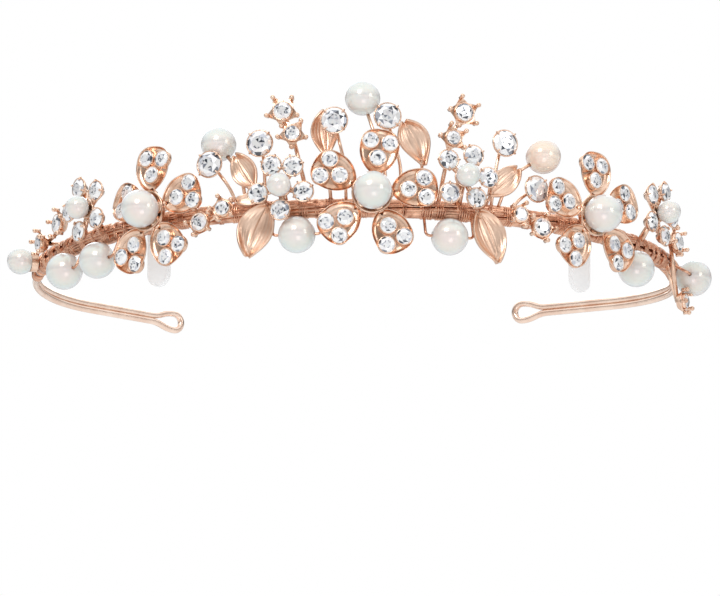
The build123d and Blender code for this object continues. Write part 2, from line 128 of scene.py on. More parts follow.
class Signal:
    """One number, colour or direction that flows through a finish."""

    def __init__(self, tree, socket=None):
        self.tree = tree
        self.socket = socket

    def make(self, kind, settings=None, inputs=None, output=0):
        """Add a node of any kind and return one of its outputs."""
        node = self.tree.nodes.new("ShaderNode" + kind)
        for name, value in (settings or {}).items():
            if name == "stops":
                ramp = node.color_ramp.elements
                while len(ramp) < len(value):
                    ramp.new(1)
                for element, (position, colour) in zip(ramp, value):
                    element.position = position
                    element.color = (*colour, 1)
            else:
                setattr(node, name, value)
        for name, value in (inputs or {}).items():
            if isinstance(value, Signal):
                self.tree.links.new(value.socket, node.inputs[name])
            else:
                node.inputs[name].default_value = value
        return Signal(self.tree, node.outputs[output])

    def sum_of(self, operation, first, second):
        return self.make("Math", {"operation": operation}, {0: first, 1: second})

    def __add__(self, other):
        return self.sum_of("ADD", self, other)

    def __radd__(self, other):
        return self.sum_of("ADD", other, self)

    def __sub__(self, other):
        return self.sum_of("SUBTRACT", self, other)

    def __rsub__(self, other):
        return self.sum_of("SUBTRACT", other, self)

    def __mul__(self, other):
        return self.sum_of("MULTIPLY", self, other)

    def __rmul__(self, other):
        return self.sum_of("MULTIPLY", other, self)


def new_finish(name, uniform, build):
    """A material: uniform values go on the shader, and build returns what varies over the surface."""
    material = bpy.data.materials.new(name)
    material.use_nodes = True
    tree = material.node_tree
    shader = tree.nodes["Principled BSDF"]
    for socket, value in uniform.items():
        shader.inputs[socket].default_value = value
    start = Signal(tree)
    where = start.make("TexCoord", output=3)
    for socket, signal in build(start, where).items():
        tree.links.new(signal.socket, shader.inputs[socket])
    return material


print("finishes are made by new_finish")

# %% [markdown]
# Rose gold plating is metal: all of its colour is in the reflection. A fine noise varies the tint and
# the roughness, because plating over a casting is never even, and a very small bump breaks the glints.

# %% Rose gold finishes


def plated(light, dark, scale, relief, smoothest):
    """Nodes of a plating whose tint runs between two colours, as rough as smoothest or a little more."""

    def build(start, where):
        cloud = start.make("TexNoise", inputs={"Vector": where, "Scale": scale, "Detail": 4.0})
        grain = start.make("TexNoise", inputs={"Vector": where, "Scale": scale * 9, "Detail": 2.0})
        tint = start.make("ValToRGB", {"stops": [(0.3, dark), (0.62, light)]}, {"Fac": cloud})
        bump = start.make("Bump", inputs={"Height": grain, "Strength": relief, "Distance": 0.05 * mm})
        return {"Base Color": tint, "Roughness": cloud * 0.16 + smoothest, "Normal": bump}

    return build


rose_gold = new_finish(
    "rose_gold_cast", {"Metallic": 1.0}, plated((0.93, 0.68, 0.53), (0.68, 0.42, 0.29), 420, 0.25, 0.11)
)
leaf_gold = new_finish(
    "rose_gold_leaf", {"Metallic": 1.0}, plated((0.92, 0.67, 0.52), (0.72, 0.46, 0.33), 300, 0.3, 0.22)
)
# The wire finish is the same rose gold painted much darker: painted shade, standing in for the shadows in the
# bundle and between wires.
shaded_wire_gold = new_finish(
    "rose_gold_wire_painted_shade", {"Metallic": 1.0}, plated((0.82, 0.49, 0.34), (0.42, 0.19, 0.12), 700, 0.35, 0.14)
)
# The band finish is the same rose gold painted paler: painted light, standing in for the light on the band's
# round wire.
lit_band_gold = new_finish(
    "rose_gold_band_painted_light", {"Metallic": 1.0}, plated((0.97, 0.78, 0.66), (0.86, 0.63, 0.51), 300, 0.15, 0.14)
)
print("rose gold", rose_gold.name, leaf_gold.name, shaded_wire_gold.name, lit_band_gold.name)

# %% [markdown]
# An imitation pearl is a glass ball with coats of fish-scale lacquer. Light goes a little way in, which
# subsurface scattering gives, and the lacquer is a thin film that turns reflections faintly pink and
# green. Slow noise between warm and cool ivory gives the uneven overtone, and a little sheen pales the
# rim, where the eye looks through more of the lacquer.

# %% Pearl finishes


def lacquer(warm, cool):
    """Nodes of a nacre whose overtone drifts between two near-whites."""

    def build(start, where):
        drift = start.make("TexNoise", inputs={"Vector": where, "Scale": 170.0, "Detail": 2.0})
        fine = start.make("TexNoise", inputs={"Vector": where, "Scale": 3200.0, "Detail": 3.0})
        tint = start.make("ValToRGB", {"stops": [(0.36, warm), (0.64, cool)]}, {"Fac": drift})
        bump = start.make("Bump", inputs={"Height": fine, "Strength": 0.06, "Distance": 0.02 * mm})
        return {"Base Color": tint, "Roughness": drift * 0.14 + 0.14, "Normal": bump}

    return build


pearl_shine = {
    "Metallic": 0.15,
    "Subsurface Weight": 0.2,
    "Subsurface Radius": (1.0, 0.8, 0.7),
    "Subsurface Scale": 1.2 * mm,
    "Coat Weight": 0.7,
    "Coat Roughness": 0.07,
    "Coat IOR": 1.5,
    "Sheen Weight": 0.35,
    "Sheen Roughness": 0.35,
    "Sheen Tint": (1.0, 0.96, 0.93, 1),
    "Thin Film Thickness": 420.0,
    "Thin Film IOR": 1.45,
    "Specular IOR Level": 0.8,
}
lustres = {
    "ivory_pearl": new_finish("ivory_lustre", pearl_shine, lacquer((0.84, 0.78, 0.76), (0.78, 0.80, 0.79))),
    "peach_pearl": new_finish("peach_lustre", pearl_shine, lacquer((0.94, 0.74, 0.64), (0.93, 0.81, 0.73))),
}
print("pearls", list(lustres))

# %% [markdown]
# A set crystal is cut glass with a silvered back. The eye sees a pattern of facets, some white and some nearly
# black, from the light they reflect. Here that pattern is painted: each facet carries a number in a mesh
# attribute, and a ramp turns that number into a painted reflection, from near-black to white, in the base
# colour. A clear coat on top gives the sharp glints of the real facets.

# %% Crystal finish


def painted_facet_reflections(start, where):
    """Nodes of the painted reflections: a dark or white tone on each facet."""
    facet = start.make("Attribute", {"attribute_name": "facet"}, output=2)
    # Painted reflection tones, from a near-black facet to a white one.
    painted_reflection_stops = [
        (0.0, (0.015, 0.02, 0.03)),
        (0.2, (0.16, 0.18, 0.23)),
        (0.42, (0.52, 0.56, 0.64)),
        (0.6, (0.86, 0.84, 0.88)),
        (0.8, (0.93, 0.97, 1.0)),
        (1.0, (1.0, 1.0, 1.0)),
    ]
    painted_reflection = start.make("ValToRGB", {"stops": painted_reflection_stops}, {"Fac": facet})
    haze = start.make("TexNoise", inputs={"Vector": where, "Scale": 900.0})
    return {"Base Color": painted_reflection, "Roughness": haze * 0.06 + 0.01}


crystal_shine = {"Metallic": 0.3, "Coat Weight": 1.0, "Coat Roughness": 0.01, "Coat IOR": 1.6}
cut_crystal = new_finish("cut_crystal", crystal_shine, painted_facet_reflections)


def frosted(start, where):
    """Nodes of a clear silicone with a moulded frost."""
    frost = start.make("TexNoise", inputs={"Vector": where, "Scale": 2600.0, "Detail": 3.0})
    flow = start.make("TexNoise", inputs={"Vector": where, "Scale": 240.0})
    tint = start.make("ValToRGB", {"stops": [(0.3, (0.93, 0.95, 0.97)), (0.7, (1.0, 1.0, 1.0))]}, {"Fac": flow})
    bump = start.make("Bump", inputs={"Height": frost, "Strength": 0.2, "Distance": 0.05 * mm})
    return {"Base Color": tint, "Roughness": flow * 0.2 + 0.3, "Normal": bump}


clear_tab = new_finish("frosted_silicone", {"Alpha": 0.4, "IOR": 1.41}, frosted)
print("crystal and silicone", cut_crystal.name, clear_tab.name)

# %% [markdown]
# Most cast shapes here start as something turned: a profile spun round an axis. The spin operator does
# that. Its seam is merged and the normals are recalculated, since a spin can come out inside out.

# %% Helpers that shape and finish meshes


def turned(profile, steps, closed=False):
    """Spin a profile of (radius, height) points about z into a closed form."""
    form = bmesh.new()
    points = [form.verts.new((radius, 0, height)) for radius, height in profile]
    for first, second in zip(points, points[1:]):
        form.edges.new((first, second))
    if closed:
        form.edges.new((points[-1], points[0]))
    bmesh.ops.spin(
        form, geom=form.verts[:] + form.edges[:], cent=(0, 0, 0), axis=(0, 0, 1),
        angle=math.tau, steps=steps, use_merge=True,
    )
    bmesh.ops.remove_doubles(form, verts=form.verts[:], dist=0.001 * mm)
    bmesh.ops.recalc_face_normals(form, faces=form.faces[:])
    return form


def add(target, form, where=Matrix.Identity(4)):
    """Copy a form into a bigger one at a place."""
    mesh = bpy.data.meshes.new("copied")
    form.to_mesh(mesh)
    mesh.transform(where)
    target.from_mesh(mesh)
    bpy.data.meshes.remove(mesh)


def rod(target, start, end, start_radius, end_radius=None, sides=12):
    """Add a straight, closed, tapered wire between two points."""
    run = end - start
    made = bmesh.ops.create_cone(
        target, cap_ends=True, segments=sides, radius1=start_radius,
        radius2=start_radius if end_radius is None else end_radius, depth=run.length,
    )
    turn = run.to_track_quat("Z", "Y").to_matrix().to_4x4()
    bmesh.ops.transform(target, matrix=Matrix.Translation((start + end) / 2) @ turn, verts=made["verts"])


def ball(target, centre, radius, detail=2):
    """Add a small ball."""
    bmesh.ops.create_icosphere(
        target, subdivisions=detail, radius=radius, matrix=Matrix.Translation(centre)
    )


def finished(name, form, finish, body="band", nodes=(), smooth=True, levels=0, blend=None):
    """Turn a form into a piece: mesh, finish, body, slot and the solid nodes that it stands for."""
    mesh = bpy.data.meshes.new(name)
    form.to_mesh(mesh)
    form.free()
    piece = bpy.data.objects.new(name, mesh)
    bpy.context.scene.collection.objects.link(piece)
    mesh.materials.append(finish)
    mesh.shade_smooth() if smooth else mesh.shade_flat()
    if levels:
        rounding = piece.modifiers.new("rounding", "SUBSURF")
        rounding.levels = rounding.render_levels = levels
    if blend:
        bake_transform(piece)
    else:
        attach(piece, body)
    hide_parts(*nodes)
    print(name, len(mesh.polygons), "faces")
    return piece


def tube(name, lines, radius, sides=8):
    """Mesh of round wires along lines of points, each with closed ends."""
    curve = bpy.data.curves.new(name, "CURVE")
    curve.dimensions = "3D"
    curve.bevel_depth = radius
    curve.bevel_resolution = max(0, sides // 2 - 2)
    curve.use_fill_caps = True
    for line in lines:
        spline = curve.splines.new("POLY")
        spline.points.add(len(line) - 1)
        for point, spot in zip(spline.points, line):
            point.co = (*spot, 1)
    holder = bpy.data.objects.new(name, curve)
    bpy.context.scene.collection.objects.link(holder)
    graph = bpy.context.evaluated_depsgraph_get()
    form = bmesh.new()
    form.from_mesh(bpy.data.meshes.new_from_object(holder.evaluated_get(graph)))
    bpy.data.objects.remove(holder)
    bmesh.ops.remove_doubles(form, verts=form.verts[:], dist=0.0005 * mm)
    return form


# %% [markdown]
# ## Crystals
#
# The solid model holds each crystal as a plain eight-sided stone. A real one is a brilliant: an
# eight-sided table, a crown of triangles and kites, a thin girdle and a pointed pavilion. Rings of
# points at the right heights and a convex hull give those facets without listing a single face.

# %% Read where the crystals sit


def stones_of(node):
    """Girdle centre, axis and diameter of each crystal in a node."""
    form = bmesh.new()
    form.from_mesh(frame["nodes"][node].data)
    bmesh.ops.remove_doubles(form, verts=form.verts[:], dist=0.002 * mm)
    waiting = set(form.verts)
    found = []
    while waiting:
        island = {waiting.pop()}
        edge_of_search = set(island)
        while edge_of_search:
            near = {e.other_vert(v) for v in edge_of_search for e in v.link_edges} - island
            island |= near
            edge_of_search = near
        waiting -= island
        points = [v.co.copy() for v in island]
        middle = sum(points, Vector()) / len(points)
        guess = outward(bearing_of(middle))
        low = sorted(points, key=lambda p: p.dot(guess))[: len(points) // 4]
        axis = (middle - sum(low, Vector()) / len(low)).normalized()
        diameter = 2 * max(((p - middle) - axis * (p - middle).dot(axis)).length for p in points)
        culet = min((p - middle).dot(axis) for p in points)
        found.append((middle + axis * (culet + 0.4 * diameter), axis, diameter))
    form.free()
    return sorted(found, key=lambda stone: (round(bearing_of(stone[0]), 2), stone[0].z))


crystal_nodes = [name for name in frame["nodes"] if name.endswith("crystals")]
stones = {name: stones_of(name) for name in crystal_nodes}
for name, members in stones.items():
    print(name, len(members), "diameter", round(members[0][2] * 1000, 2))

# %% Cut one brilliant


def brilliant(facets=8):
    """A cut stone of diameter 1 with its girdle at z = 0."""
    form = bmesh.new()
    rings = [
        (0.275, 0.19, 0.5, facets),
        (0.41, 0.125, 0.0, facets),
        (0.5, 0.05, 0.25, 2 * facets),
        (0.5, 0.0, 0.25, 2 * facets),
        (0.24, -0.22, 0.5, facets),
        (0.03, -0.39, 0.0, facets),
    ]
    for radius, height, part, corners in rings:
        turn = Matrix.Rotation(part * math.tau / facets, 4, "Z")
        bmesh.ops.create_circle(
            form, segments=corners, radius=radius, matrix=Matrix.Translation((0, 0, height)) @ turn
        )
    hull = bmesh.ops.convex_hull(form, input=form.verts[:])
    spare = [item for item in hull["geom_interior"] if isinstance(item, bmesh.types.BMVert)]
    bmesh.ops.delete(form, geom=spare, context="VERTS")
    bmesh.ops.dissolve_limit(form, angle_limit=0.02, verts=form.verts[:], edges=form.edges[:])
    table = max(form.faces, key=lambda face: face.calc_center_median().z)
    bmesh.ops.inset_individual(form, faces=[table], thickness=0.1)
    ring = [face for face in form.faces if face.normal.z > 0.99]
    bmesh.ops.poke(form, faces=ring)
    bmesh.ops.recalc_face_normals(form, faces=form.faces[:])
    return form


cut_stone = brilliant()
print("facets of one stone", len(cut_stone.faces))

# %% Set a cut stone in every place
# Each facet draws a painted reflection tone: mostly white, a few dark.
painted_reflection_tones = [1.0, 1.0, 1.0, 0.95, 0.9, 0.85, 0.8, 0.7, 0.6, 0.45, 0.25, 0.05]
stone_growth = {"flower": 1.14, "cluster": 1.06, "stem": 1.06, "sprig": 1.1}
dice = random.Random(11)
for name, members in stones.items():
    form = bmesh.new()
    painted_reflection = form.faces.layers.float.new("facet")
    growth = next(share for kind, share in stone_growth.items() if kind in name)
    for centre, axis, diameter in members:
        before = len(form.faces)
        spin = Matrix.Rotation(dice.random() * math.tau, 4, "Z")
        add(form, cut_stone, seat(centre, axis, UP) @ spin @ Matrix.Scale(growth * diameter, 4))
        form.faces.ensure_lookup_table()
        for face in form.faces[before:]:
            face[painted_reflection] = dice.choice(painted_reflection_tones)
    finished(name + "_cut", form, cut_crystal, nodes=[name], smooth=False)

# %% [markdown]
# ## Pearls
#
# A pearl is turned too: half a circle spun round its drilling. The drill leaves a small soft-edged mouth.
# A pearl on a peg or stem has one mouth, and a threaded pearl has one at each end.

# %% Turn the pearls


def pearl(radius, mouth, through):
    """Ball with a drilled mouth at the bottom, and at the top too if it is drilled through."""
    arcs = 30
    first = math.asin(mouth / radius) + 0.05
    last = math.pi - first if through else math.pi
    angles = [first + (last - first) * step / arcs for step in range(arcs + 1)]
    profile = [(radius * math.sin(a), -radius * math.cos(a)) for a in angles]
    deep = 0.55 * radius
    profile = [(0, -deep), (mouth, -deep), (mouth, -radius * 0.985)] + profile
    if through:
        profile += [(mouth, radius * 0.985), (mouth, deep), (0, deep)]
    else:
        profile[-1] = (0, radius)
    return turned(profile, 48)


stem_knees = {
    "top_pearl": (2.2, 9.0, 1.2),
    "left_stem_pearl": (-22.8, 7.8, 1.2),
    "right_stem_pearl": (24.6, 8.2, 1.4),
}
pearl_nodes = [name for name in frame["nodes"] if name.endswith("_pearl")]
for name in pearl_nodes:
    centre = node_centre(name)
    low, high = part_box(name)
    radius = (high - low).z / 2
    own_body = name + "_body"
    threaded = own_body in frame["bodies"]
    if threaded:
        axis, mouth = UP.cross(outward(bearing_of(centre))), 0.35 * mm
    elif name in stem_knees:
        axis, mouth = centre - place(*stem_knees[name]), 0.47 * mm
    else:
        axis, mouth = outward(bearing_of(centre)), 0.52 * mm
    sideways = UP if abs(axis.normalized().z) < 0.9 else Vector((1, 0, 0))
    form = bmesh.new()
    add(form, pearl(radius, mouth, threaded), seat(centre, axis, sideways))
    lustre = "peach_pearl" if name == "right_stem_pearl" else "ivory_pearl"
    body = own_body if threaded else "band"
    finished(name + "_ball", form, lustres[lustre], body, [name])

# %% [markdown]
# ## Flowers
#
# Each flower is one casting: a hub cup, and five petals like small trays with a raised rim. A tray starts
# as a short cone whose outline is pulled out towards its three crystals. Repeated insets, each a little
# deeper, give the rim and the dished floor, and one level of subdivision softens the casting.

# %% Shape one petal, its collars and its beads
petal_pitch = 4.1 * mm
collar_wall = 0.26 * mm


def petal_tray():
    """Dished petal in its own frame: the middle of its crystals at the origin, +y away from the hub."""
    form = bmesh.new()
    bmesh.ops.create_cone(
        form, cap_ends=True, segments=56, radius1=0.76, radius2=1, depth=1.9 * mm,
        matrix=Matrix.Translation((0, 0, -0.55 * mm)),
    )
    for vert in form.verts:
        size = vert.co.xy.length
        wide, far = vert.co.x / size, vert.co.y / size
        half_width, reach, squareness = (4.3, 3.95, 0.82) if far > 0 else (4.3, 6.1, 0.84)
        taper = 1 if far > 0 else 1 - 0.3 * far**2
        vert.co.x = math.copysign(abs(wide) ** squareness, wide) * half_width * taper * size * mm
        vert.co.y = math.copysign(abs(far) ** squareness, far) * reach * size * mm
        if far < 0:
            vert.co.z -= 0.5 * mm * far**2
    floor = [max(form.faces, key=lambda face: face.calc_center_median().z)]
    for width, drop in ((0.24, 0.08), (0.12, -0.55), (0.5, -0.35), (0.9, -0.15), (0.8, 0.0)):
        bmesh.ops.inset_region(form, faces=floor, thickness=width * mm, depth=drop * mm, use_even_offset=True)
    return form


def collar(diameter, low, high, wall=collar_wall):
    """Round wall that holds a stone, its lip leaning in over the girdle."""
    inner, outer = diameter / 2, diameter / 2 + wall
    profile = [
        (inner + 0.02 * mm, low), (outer, low), (outer, high - wall / 2),
        (inner + wall * 0.6, high), (inner - 0.12 * mm, high + 0.02 * mm), (inner + 0.02 * mm, high - 0.15 * mm),
    ]
    return turned(profile, 24, closed=True)


def claws(form, where, diameter, count, size, lift, turn=0.0):
    """Small beads pressed over the edge of a stone."""
    for index in range(count):
        angle = turn + index * math.tau / count
        reach = diameter / 2 + size * 0.35
        spot = Vector((reach * math.cos(angle), reach * math.sin(angle), lift))
        ball(form, where @ spot, size, 1)


tray = petal_tray()
print("petal tray", len(tray.faces), "faces")

# %% Assemble the three flowers


def petal_groups(members):
    """Sort a flower's crystals into the threes that share a petal: they are one pitch apart."""

    def misfit(three):
        pairs = ((0, 1), (1, 2), (2, 0))
        return sum(abs((three[a][0] - three[b][0]).length - petal_pitch) for a, b in pairs)

    groups = []
    left = list(members)
    while left:
        threes = [(left[0], a, b) for i, a in enumerate(left[1:]) for b in left[i + 2:]]
        best = min(threes, key=misfit)
        groups.append(best)
        left = [stone for stone in left if stone not in best]
    return groups


hub_profile = [
    (0, -1.7), (1.8, -1.7), (3.5, -1.3), (4.2, -0.5), (4.4, 0.4), (4.3, 0.9),
    (4.0, 0.7), (3.4, -0.1), (2.2, -0.85), (0, -1.05),
]
for flower in ("centre_flower", "left_flower", "right_flower"):
    members = stones[flower + "_crystals"]
    pearl_middle = node_centre(flower + "_pearl")
    out = outward(bearing_of(pearl_middle))
    hub = pearl_middle - out * 2.9 * mm
    form = bmesh.new()
    add(form, turned([(r * mm, z * mm) for r, z in hub_profile], 40), seat(hub, out, UP))
    rod(form, hub - out * 4.4 * mm, hub - out * 0.8 * mm, 1.1 * mm)
    for group in petal_groups(members):
        middle = sum((s[0] for s in group), Vector()) / len(group)
        axis, size = group[0][1], group[0][2] * stone_growth["flower"]
        inner = min(group, key=lambda s: (s[0] - hub).length)[0]
        where = seat(middle, axis, middle - inner)
        add(form, tray, where)
        neck = where @ Vector((0, -4.6 * mm, -1.0 * mm))
        rod(form, hub - out * 0.9 * mm, neck, 1.5 * mm, 1.5 * mm, 16)
        for centre, _, _ in group:
            cup = seat(centre, axis, middle - inner)
            add(form, collar(size, -0.95 * mm, 0.22 * mm), cup)
            claws(form, cup, size, 4, 0.2 * mm, 0.26 * mm, math.pi / 4)
    finished(flower + "_cast", form, rose_gold, nodes=[flower + "_casting"], levels=1)

# %% [markdown]
# ## Clusters
#
# A cluster is a small pearl with five crystals round it. Each crystal stands in a tapered cup with four
# claws. An arm of wire ties every cup to a little dish below the pearl.

# %% Assemble the four clusters


def claw_cup(diameter, depth):
    """Tapered cup under a stone."""
    radius = diameter / 2
    profile = [
        (0, -depth), (0.45 * radius, -depth), (radius + 0.3 * mm, -0.1 * mm), (radius + 0.28 * mm, 0.12 * mm),
        (radius + 0.02 * mm, 0.16 * mm), (radius, -0.12 * mm), (0.4 * radius, -depth + 0.35 * mm),
        (0, -depth + 0.35 * mm),
    ]
    return turned(profile, 24)


def prongs(form, where, diameter, count, thickness, low, high, turn=0.0):
    """Upright claws that bend in over a stone."""
    radius = diameter / 2
    for index in range(count):
        angle = turn + index * math.tau / count
        way = Vector((math.cos(angle), math.sin(angle), 0))
        foot = where @ (way * (radius * 0.62) + UP * low)
        shoulder = where @ (way * (radius + 0.32 * mm) + UP * (high - 0.35 * mm))
        tip = where @ (way * (radius - 0.12 * mm) + UP * high)
        rod(form, foot, shoulder, thickness, thickness * 0.9, 8)
        rod(form, shoulder, tip, thickness * 0.9, thickness * 0.7, 8)
        ball(form, shoulder, thickness * 0.98, 1)
        ball(form, tip, thickness * 0.85, 1)


for cluster in ("left_front_cluster", "right_front_cluster", "left_side_cluster", "right_side_cluster"):
    pearl_middle = node_centre(cluster + "_pearl")
    out = outward(bearing_of(pearl_middle))
    hub = pearl_middle - out * 2.7 * mm
    form = bmesh.new()
    dish = [(0, -0.9), (1.3, -0.8), (2.1, -0.1), (2.0, 0.25), (1.5, 0.0), (0, -0.3)]
    add(form, turned([(r * mm, z * mm) for r, z in dish], 28), seat(hub, out, UP))
    rod(form, place(bearing_of(hub), 0.6, 0.4), hub - out * 0.6 * mm, 0.7 * mm)
    for centre, axis, size in stones[cluster + "_crystals"]:
        size *= stone_growth["cluster"]
        where = seat(centre, axis, centre - hub)
        add(form, claw_cup(size, 1.75 * mm), where)
        prongs(form, where, size, 4, 0.27 * mm, -1.2 * mm, 0.62 * mm, math.pi / 4)
        rod(form, hub - out * 0.45 * mm, centre - axis * 1.35 * mm, 0.6 * mm)
    finished(cluster + "_cast", form, rose_gold, nodes=[cluster + "_casting"])

# %% [markdown]
# ## Leaves
#
# A leaf is a thin cast blade. A flat grid is narrowed to a point at both ends, dished across, and pushed
# into slanting veins and a raised midrib. Solidify then gives it the thickness of the real blade.

# %% Shape and place the leaves
# Base and tip, width, foot of the stalk, sideways sweep of the tip, and where along it the blade is widest.
leaf_places = {
    "upper_left_leaf": ((-7.8, 11.4, 0.2), (-8.4, 21.0, 0.2), 5.4, -7.0, 0.6, 0.56),
    "upper_right_leaf": ((9.0, 9.2, 1.0), (6.1, 18.6, 1.8), 6.0, 9.0, -0.9, 0.6),
    "small_left_leaf": ((-20.2, 4.9, 2.4), (-23.7, 11.6, 3.0), 5.0, -20.2, 0.5, 0.5),
    "small_right_leaf": ((20.4, 3.7, 2.4), (25.9, 9.8, 3.0), 4.8, 20.0, -0.5, 0.52),
    "lower_left_leaf": ((-17.6, 0.2, 3.0), (-21.6, -9.8, 4.0), 7.2, -17.4, -1.3, 0.47),
    "lower_right_leaf": ((18.2, -0.4, 3.0), (22.3, -10.4, 4.0), 6.8, 18.0, 1.3, 0.47),
    "slim_leaf": ((-18.0, 2.6, 2.6), (-23.2, 1.8, 3.0), 2.2, -18.2, 0.1, 0.5),
}


def leaf_blade(length, width, sweep, fullest):
    """Cupped, veined blade from the origin along +y, its tip curled."""
    form = bmesh.new()
    bmesh.ops.create_grid(form, x_segments=36, y_segments=44, size=0.5)
    for vert in form.verts:
        across, along = vert.co.x * 2, vert.co.y + 0.5
        belly = math.sin(math.pi * along ** (math.log(0.5) / math.log(fullest)))
        half = width / 2 * max(0.0, belly) ** 0.8 + 0.18 * mm
        cup = 0.13 * width * across**2 - 0.05 * length * belly
        vein = 0.006 * width * math.cos(9 * math.pi * across) * belly
        rib = 0.07 * width * math.exp(-((across / 0.1) ** 2)) * (1 - along)
        curl = 0.10 * width * max(0.0, across) ** 3 * along - 2 * length * max(0.0, along - 0.8) ** 2
        bend = sweep * mm * (1.8 * along**2 - 1.2 * along)
        vert.co = Vector((across * half + bend, along * length, cup + vein + rib + curl))
    bmesh.ops.recalc_face_normals(form, faces=form.faces[:])
    bmesh.ops.solidify(form, geom=form.faces[:], thickness=0.45 * mm)
    bmesh.ops.recalc_face_normals(form, faces=form.faces[:])
    return form


for name, (base, tip, width, foot_bearing, sweep, fullest) in leaf_places.items():
    start, end = place(*base), place(*tip)
    out = outward(base[0])
    form = bmesh.new()
    blade = leaf_blade((end - start).length, width * mm, sweep, fullest)
    add(form, blade, seat(start, out, end - start))
    rod(form, place(foot_bearing, 0.9, 0.4), start + (end - start) * 0.12, 0.4 * mm, 0.34 * mm)
    finished(name + "_blade", form, leaf_gold, nodes=[name])

# %% [markdown]
# ## Star sprigs
#
# A sprig is a wire with two star cups. Each star is a ten-cornered circle whose every other corner is
# pulled out, turned up at the points like a crown, and each point ends in a small balled prong.

# %% Build the sprigs
sprig_feet = {
    "top_left_sprig": (-10.8, 1.45, 0.6),
    "top_right_sprig": (11.6, 1.35, 0.2),
    "mid_left_sprig": (-26.6, 0.75, 0.3),
    "mid_right_sprig": (26.8, 0.75, 0.9),
    "left_side_sprig": (-66.0, 0.85, 0.0),
    "right_side_sprig": (69.4, 0.75, 0.5),
}


def star_cup(form, where, diameter, stand_out, turn):
    """Pointed cup in its own frame, its stone's girdle at the origin."""
    points = 5
    waist = diameter / 2 + 0.5 * mm
    plate = bmesh.new()
    bmesh.ops.create_cone(
        plate, cap_ends=True, segments=2 * points, radius1=waist * 0.7, radius2=waist, depth=1.4 * mm,
        matrix=Matrix.Translation((0, 0, -1.15 * mm)),
    )
    plate.verts.ensure_lookup_table()
    for vert in plate.verts:
        angle = math.atan2(vert.co.x, vert.co.y)
        corner = round(angle / (math.pi / points)) % 2
        if corner == 0 and vert.co.z > -1.0 * mm:
            vert.co += vert.co.normalized() * stand_out * mm
            vert.co.z = -0.15 * mm
    bmesh.ops.bevel(
        plate, geom=plate.edges[:], offset=0.12 * mm, segments=2, profile=0.5, affect="EDGES", material=-1
    )
    spin = where @ Matrix.Rotation(turn, 4, "Z")
    add(form, plate, spin)
    plate.free()
    add(form, collar(diameter, -1.0 * mm, 0.2 * mm, 0.3 * mm), where)
    for index in range(points):
        angle = index * math.tau / points
        way = Vector((math.sin(angle), math.cos(angle), 0))
        outer = spin @ (way * (waist + stand_out * mm * 0.6) + UP * -0.5 * mm)
        tip = spin @ (way * (waist + stand_out * mm * 0.72) + UP * 0.7 * mm)
        rod(form, outer, tip, 0.46 * mm, 0.36 * mm, 10)
        ball(form, tip, 0.52 * mm)


sprig_stones = list(stones["sprig_crystals"])
for name, (foot_bearing, stand_out, turn) in sprig_feet.items():
    low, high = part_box(name)
    inside = [
        s for s in sprig_stones
        if all(low[i] - 0.5 * mm < s[0][i] < high[i] + 0.5 * mm for i in range(3))
    ]
    inside.sort(key=lambda s: -s[2])
    upper, lower = inside[0], inside[1]
    form = bmesh.new()
    for centre, axis, size in (upper, lower):
        star_cup(form, seat(centre, axis, UP), size * stone_growth["sprig"], stand_out, turn)
    backs = [centre - axis * 1.9 * mm for centre, axis, size in (upper, lower)]
    rod(form, backs[1], backs[0], 0.45 * mm)
    rod(form, place(foot_bearing, 0.9, 0.4), backs[1], 0.45 * mm)
    finished(name + "_cast", form, rose_gold, nodes=[name])

# %% [markdown]
# ## Wire
#
# The band is one wire, doubled: out along the top, round a loop at the end and back below. Each half runs round
# the band in front, turns smoothly where the arms spring open, and runs along the arm behind. A round tube is
# drawn along the centre line of each half.

# %% Bend the two halves of the band
strand_radius = 0.71 * mm
strand_offset = 0.66 * mm
arm_radius, arm_turn, arm_run = 25.0, 59.0, 15.5
eye_radius, flare_radius = 1.85, 8.0


def arm_line():
    """Centre line of the upper strand from the hinge to the tip of the eye, in millimetres, side on."""
    turn = math.radians(arm_turn)
    line = []
    for step in range(25):
        angle = turn * step / 24
        line.append((arm_radius * math.cos(angle) - arm_radius, arm_radius * math.sin(angle), 0.66))
    end_x, end_y, _ = line[-1]
    flare = math.acos(1 - (eye_radius - 0.66) / (2 * flare_radius))
    rise = [(arm_run * step / 6, 0.66) for step in range(1, 7)]
    for step in range(1, 9):
        angle = flare * step / 8
        rise.append((arm_run + flare_radius * math.sin(angle), 0.66 + flare_radius * (1 - math.cos(angle))))
    across, height = rise[-1]
    for step in range(7, -1, -1):
        angle = flare * step / 8
        spot = (arm_run + 2 * flare_radius * math.sin(flare) - flare_radius * math.sin(angle),
                eye_radius - flare_radius * (1 - math.cos(angle)))
        rise.append(spot)
    middle = rise[-1][0]
    for step in range(1, 13):
        angle = math.pi / 2 * step / 12
        rise.append((middle + eye_radius * math.sin(angle), eye_radius * math.cos(angle)))
    for along, height in rise:
        line.append((end_x - math.sin(turn) * along, end_y + math.cos(turn) * along, height))
    return line


